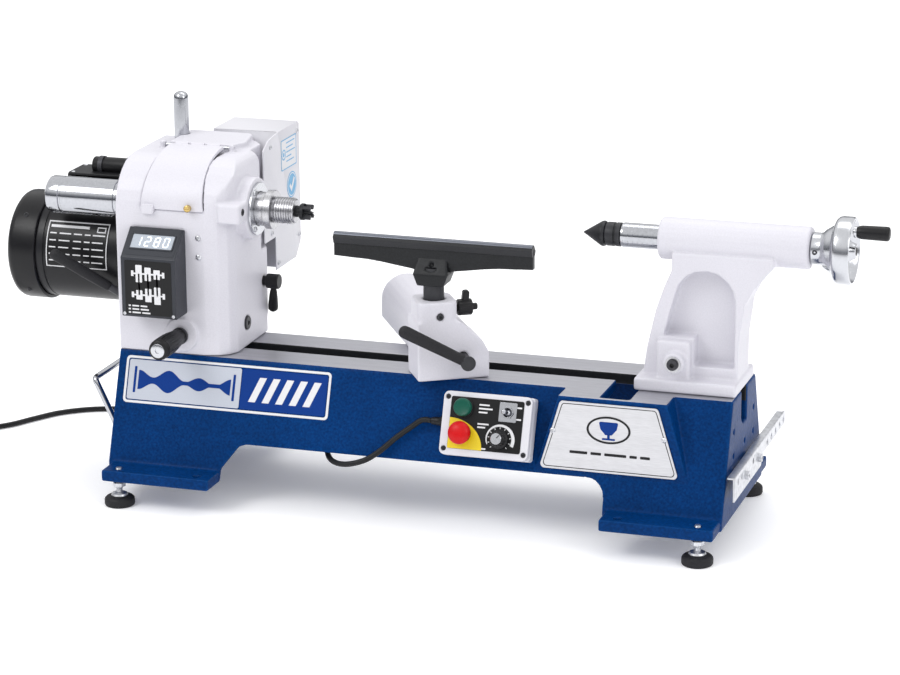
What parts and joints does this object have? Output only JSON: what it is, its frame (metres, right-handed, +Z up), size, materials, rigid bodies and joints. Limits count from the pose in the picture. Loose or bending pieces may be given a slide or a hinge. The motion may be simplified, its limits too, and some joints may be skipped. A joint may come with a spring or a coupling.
{
  "type": "wood lathe",
  "caption": "Bench-top midi wood lathe with belt-drive headstock, swivelling tool-rest banjo and sliding tailstock on a cast bed",
  "frame": {"origin": "the floor point under the middle of the machine's length and depth, without the mains cord", "axes": "+X along the bed from the motor to the tailstock handwheel, +Y to the back, +Z up"},
  "size_m": [1.3225, 0.382, 0.482],
  "materials": {
    "blue_enamel": "hammertone enamel",
    "white_enamel": "semi-gloss enamel",
    "black_enamel": "satin enamel",
    "steel": "ground",
    "chrome": "polished",
    "cast_iron": "oiled",
    "aluminium": "brushed",
    "black_plastic": "satin",
    "rubber": "matte",
    "red_plastic": "gloss",
    "green_plastic": "gloss"
  },
  "bodies": {
    "bed": {"bed": "blue_enamel", "plaque": "aluminium", "end_handle": "chrome", "tool_bracket": "steel", "headstock": "white_enamel", "door_hinge_pin": "steel", "front_bearing": "steel", "rear_bearing": "steel", "bearing_retainer": "chrome", "display_box": "black_plastic", "electronics_box": "white_enamel", "control_box": "white_enamel", "control_panel": "white_enamel", "cable_gland": "black_plastic", "control_cable": "rubber", "strain_relief": "rubber", "power_cable": "rubber", "cable_coil": "rubber", "mains_plug": "black_plastic", "drive_belt": "rubber"},
    "door": {"belt_door": "white_enamel"},
    "spindle": {"spindle": "steel", "spindle_pulley": "aluminium", "outboard_handwheel": "chrome", "drive_centre": "black_enamel"},
    "motor": {"motor_body": "black_enamel", "motor_end_cap": "black_enamel", "motor_plate": "black_enamel", "terminal_box": "black_plastic", "tension_lever": "rubber"},
    "rotor": {"motor_rotor": "steel", "cooling_fan": "black_plastic", "motor_pulley": "aluminium"},
    "lock_knob": {"lock_knob": "rubber"},
    "plate_clamp": {"plate_clamp_lever": "black_plastic"},
    "knockout_bar": {"knockout_bar": "chrome"},
    "start_button": {"start_button": "green_plastic"},
    "stop_button": {"stop_button": "red_plastic"},
    "direction_switch": {"direction_switch": "chrome"},
    "speed_knob": {"speed_knob": "black_plastic"},
    "banjo_carriage": {"banjo_clamp_plate": "steel"},
    "banjo_bolt": {"banjo_clamp_bolt": "steel"},
    "banjo": {"banjo": "white_enamel"},
    "banjo_cam": {"banjo_cam_lever": "rubber"},
    "rest_post": {"rest_post": "steel"},
    "tool_rest": {"tool_rest": "cast_iron"},
    "rest_clamp": {"rest_clamp": "black_plastic"},
    "tailstock": {"tailstock": "white_enamel", "tail_clamp_plate": "steel"},
    "tail_clamp": {"tail_clamp_lever": "rubber"},
    "quill": {"quill": "chrome", "live_centre_body": "black_enamel"},
    "live_point": {"live_centre_point": "black_enamel"},
    "tail_wheel": {"tail_handwheel": "aluminium"},
    "crank": {"crank_handle": "black_plastic"},
    "quill_lock": {"quill_lock": "black_plastic"},
    "foot_front_left": {"levelling_foot_front_left": "rubber"},
    "foot_rear_left": {"levelling_foot_rear_left": "rubber"},
    "foot_front_right": {"levelling_foot_front_right": "rubber"},
    "foot_rear_right": {"levelling_foot_rear_right": "rubber"}
  },
  "joints": [
    {"name": "spindle_spin", "type": "hinge", "parent": "bed", "child": "spindle", "pos_m": [-0.2625, -0.0267, 0.358], "axis": [1, 0, 0], "continuous": true},
    {"name": "motor_spin", "type": "hinge", "parent": "motor", "child": "rotor", "pos_m": [-0.4625, 0.0333, 0.2755], "axis": [1, 0, 0], "continuous": true},
    {"name": "motor_lift", "type": "hinge", "parent": "bed", "child": "motor", "pos_m": [-0.3925, 0.0933, 0.2755], "axis": [-1, 0, 0], "range_deg": [0, 5], "deforming": ["drive_belt"]},
    {"name": "door_hinge", "type": "hinge", "parent": "bed", "child": "door", "pos_m": [-0.3127, 0.0043, 0.425], "axis": [-1, 0, 0], "range_deg": [0, 110]},
    {"name": "lock_knob_turn", "type": "hinge", "parent": "bed", "child": "lock_knob", "pos_m": [-0.3025, -0.1267, 0.2057], "axis": [0, -1, 0], "range_deg": [-90, 90]},
    {"name": "plate_clamp_turn", "type": "hinge", "parent": "bed", "child": "plate_clamp", "pos_m": [-0.2245, 0.0283, 0.25], "axis": [1, 0, 0], "range_deg": [-40, 40]},
    {"name": "knockout_bar_lift", "type": "slide", "parent": "bed", "child": "knockout_bar", "axis": [0, 0, 1], "range_m": [0, 0.2]},
    {"name": "start_press", "type": "slide", "parent": "bed", "child": "start_button", "axis": [0, 0.9361, -0.3518], "range_m": [0, 0.002], "stiffness_N_per_m": 300},
    {"name": "stop_press", "type": "slide", "parent": "bed", "child": "stop_button", "axis": [0, 0.9361, -0.3518], "range_m": [0, 0.004], "stiffness_N_per_m": 300},
    {"name": "direction_toggle", "type": "hinge", "parent": "bed", "child": "direction_switch", "pos_m": [0.1338, -0.12614, 0.15366], "axis": [1, 0, 0], "range_deg": [-14, 14]},
    {"name": "speed_turn", "type": "hinge", "parent": "bed", "child": "speed_knob", "pos_m": [0.1262, -0.14052, 0.12392], "axis": [0, -0.9361, 0.3518], "range_deg": [-135, 135]},
    {"name": "banjo_slide", "type": "slide", "parent": "bed", "child": "banjo_carriage", "axis": [1, 0, 0], "range_m": [-0.12, 0.1]},
    {"name": "banjo_swivel", "type": "hinge", "parent": "banjo_carriage", "child": "banjo_bolt", "pos_m": [0.0251, -0.0267, 0.18], "axis": [0, 0, 1], "range_deg": [-60, 20]},
    {"name": "banjo_reach", "type": "slide", "parent": "banjo_bolt", "child": "banjo", "axis": [0.5299, -0.848, 0], "range_m": [-0.008, 0.15]},
    {"name": "banjo_cam_turn", "type": "hinge", "parent": "banjo", "child": "banjo_cam", "pos_m": [0.0251, -0.0267, 0.207], "axis": [-0.5299, 0.848, 0], "range_deg": [0, 70]},
    {"name": "rest_height", "type": "slide", "parent": "banjo", "child": "rest_post", "axis": [0, 0, 1], "range_m": [-0.015, 0.045]},
    {"name": "rest_turn", "type": "hinge", "parent": "rest_post", "child": "tool_rest", "pos_m": [0.02749, -0.08676, 0.32], "axis": [0, 0, 1], "range_deg": [-60, 60]},
    {"name": "rest_clamp_turn", "type": "hinge", "parent": "banjo", "child": "rest_clamp", "pos_m": [0.02749, -0.08676, 0.264], "axis": [0.848, 0.5299, 0], "range_deg": [-60, 60]},
    {"name": "tailstock_slide", "type": "slide", "parent": "bed", "child": "tailstock", "axis": [1, 0, 0], "range_m": [-0.15, 0]},
    {"name": "tail_clamp_turn", "type": "hinge", "parent": "tailstock", "child": "tail_clamp", "pos_m": [0.3245, 0.0403, 0.2186], "axis": [0, 1, 0], "range_deg": [-60, 25]},
    {"name": "tail_wheel_turn", "type": "hinge", "parent": "tailstock", "child": "tail_wheel", "pos_m": [0.4975, -0.0267, 0.358], "axis": [-1, 0, 0], "range_deg": [-540, 6300]},
    {"name": "quill_slide", "type": "slide", "parent": "tailstock", "child": "quill", "axis": [-1, 0, 0], "range_m": [-0.006, 0.07]},
    {"name": "live_point_spin", "type": "hinge", "parent": "quill", "child": "live_point", "pos_m": [0.2275, -0.0267, 0.358], "axis": [1, 0, 0], "continuous": true},
    {"name": "crank_spin", "type": "hinge", "parent": "tail_wheel", "child": "crank", "pos_m": [0.5475, -0.0487, 0.387], "axis": [1, 0, 0], "continuous": true},
    {"name": "quill_lock_turn", "type": "hinge", "parent": "tailstock", "child": "quill_lock", "pos_m": [0.3435, 0.0033, 0.358], "axis": [0, 1, 0], "range_deg": [-30, 60]},
    {"name": "foot_front_left_level", "type": "slide", "parent": "bed", "child": "foot_front_left", "axis": [0, 0, -1], "range_m": [0, 0.008]},
    {"name": "foot_rear_left_level", "type": "slide", "parent": "bed", "child": "foot_rear_left", "axis": [0, 0, -1], "range_m": [0, 0.008]},
    {"name": "foot_front_right_level", "type": "slide", "parent": "bed", "child": "foot_front_right", "axis": [0, 0, -1], "range_m": [0, 0.008]},
    {"name": "foot_rear_right_level", "type": "slide", "parent": "bed", "child": "foot_rear_right", "axis": [0, 0, -1], "range_m": [0, 0.008]}
  ],
  "couplings": [
    {"joint": "motor_spin", "follows": "spindle_spin", "ratio": 1.069},
    {"joint": "quill_slide", "follows": "tail_wheel_turn", "m_per_rad": 0.000636}
  ]
}
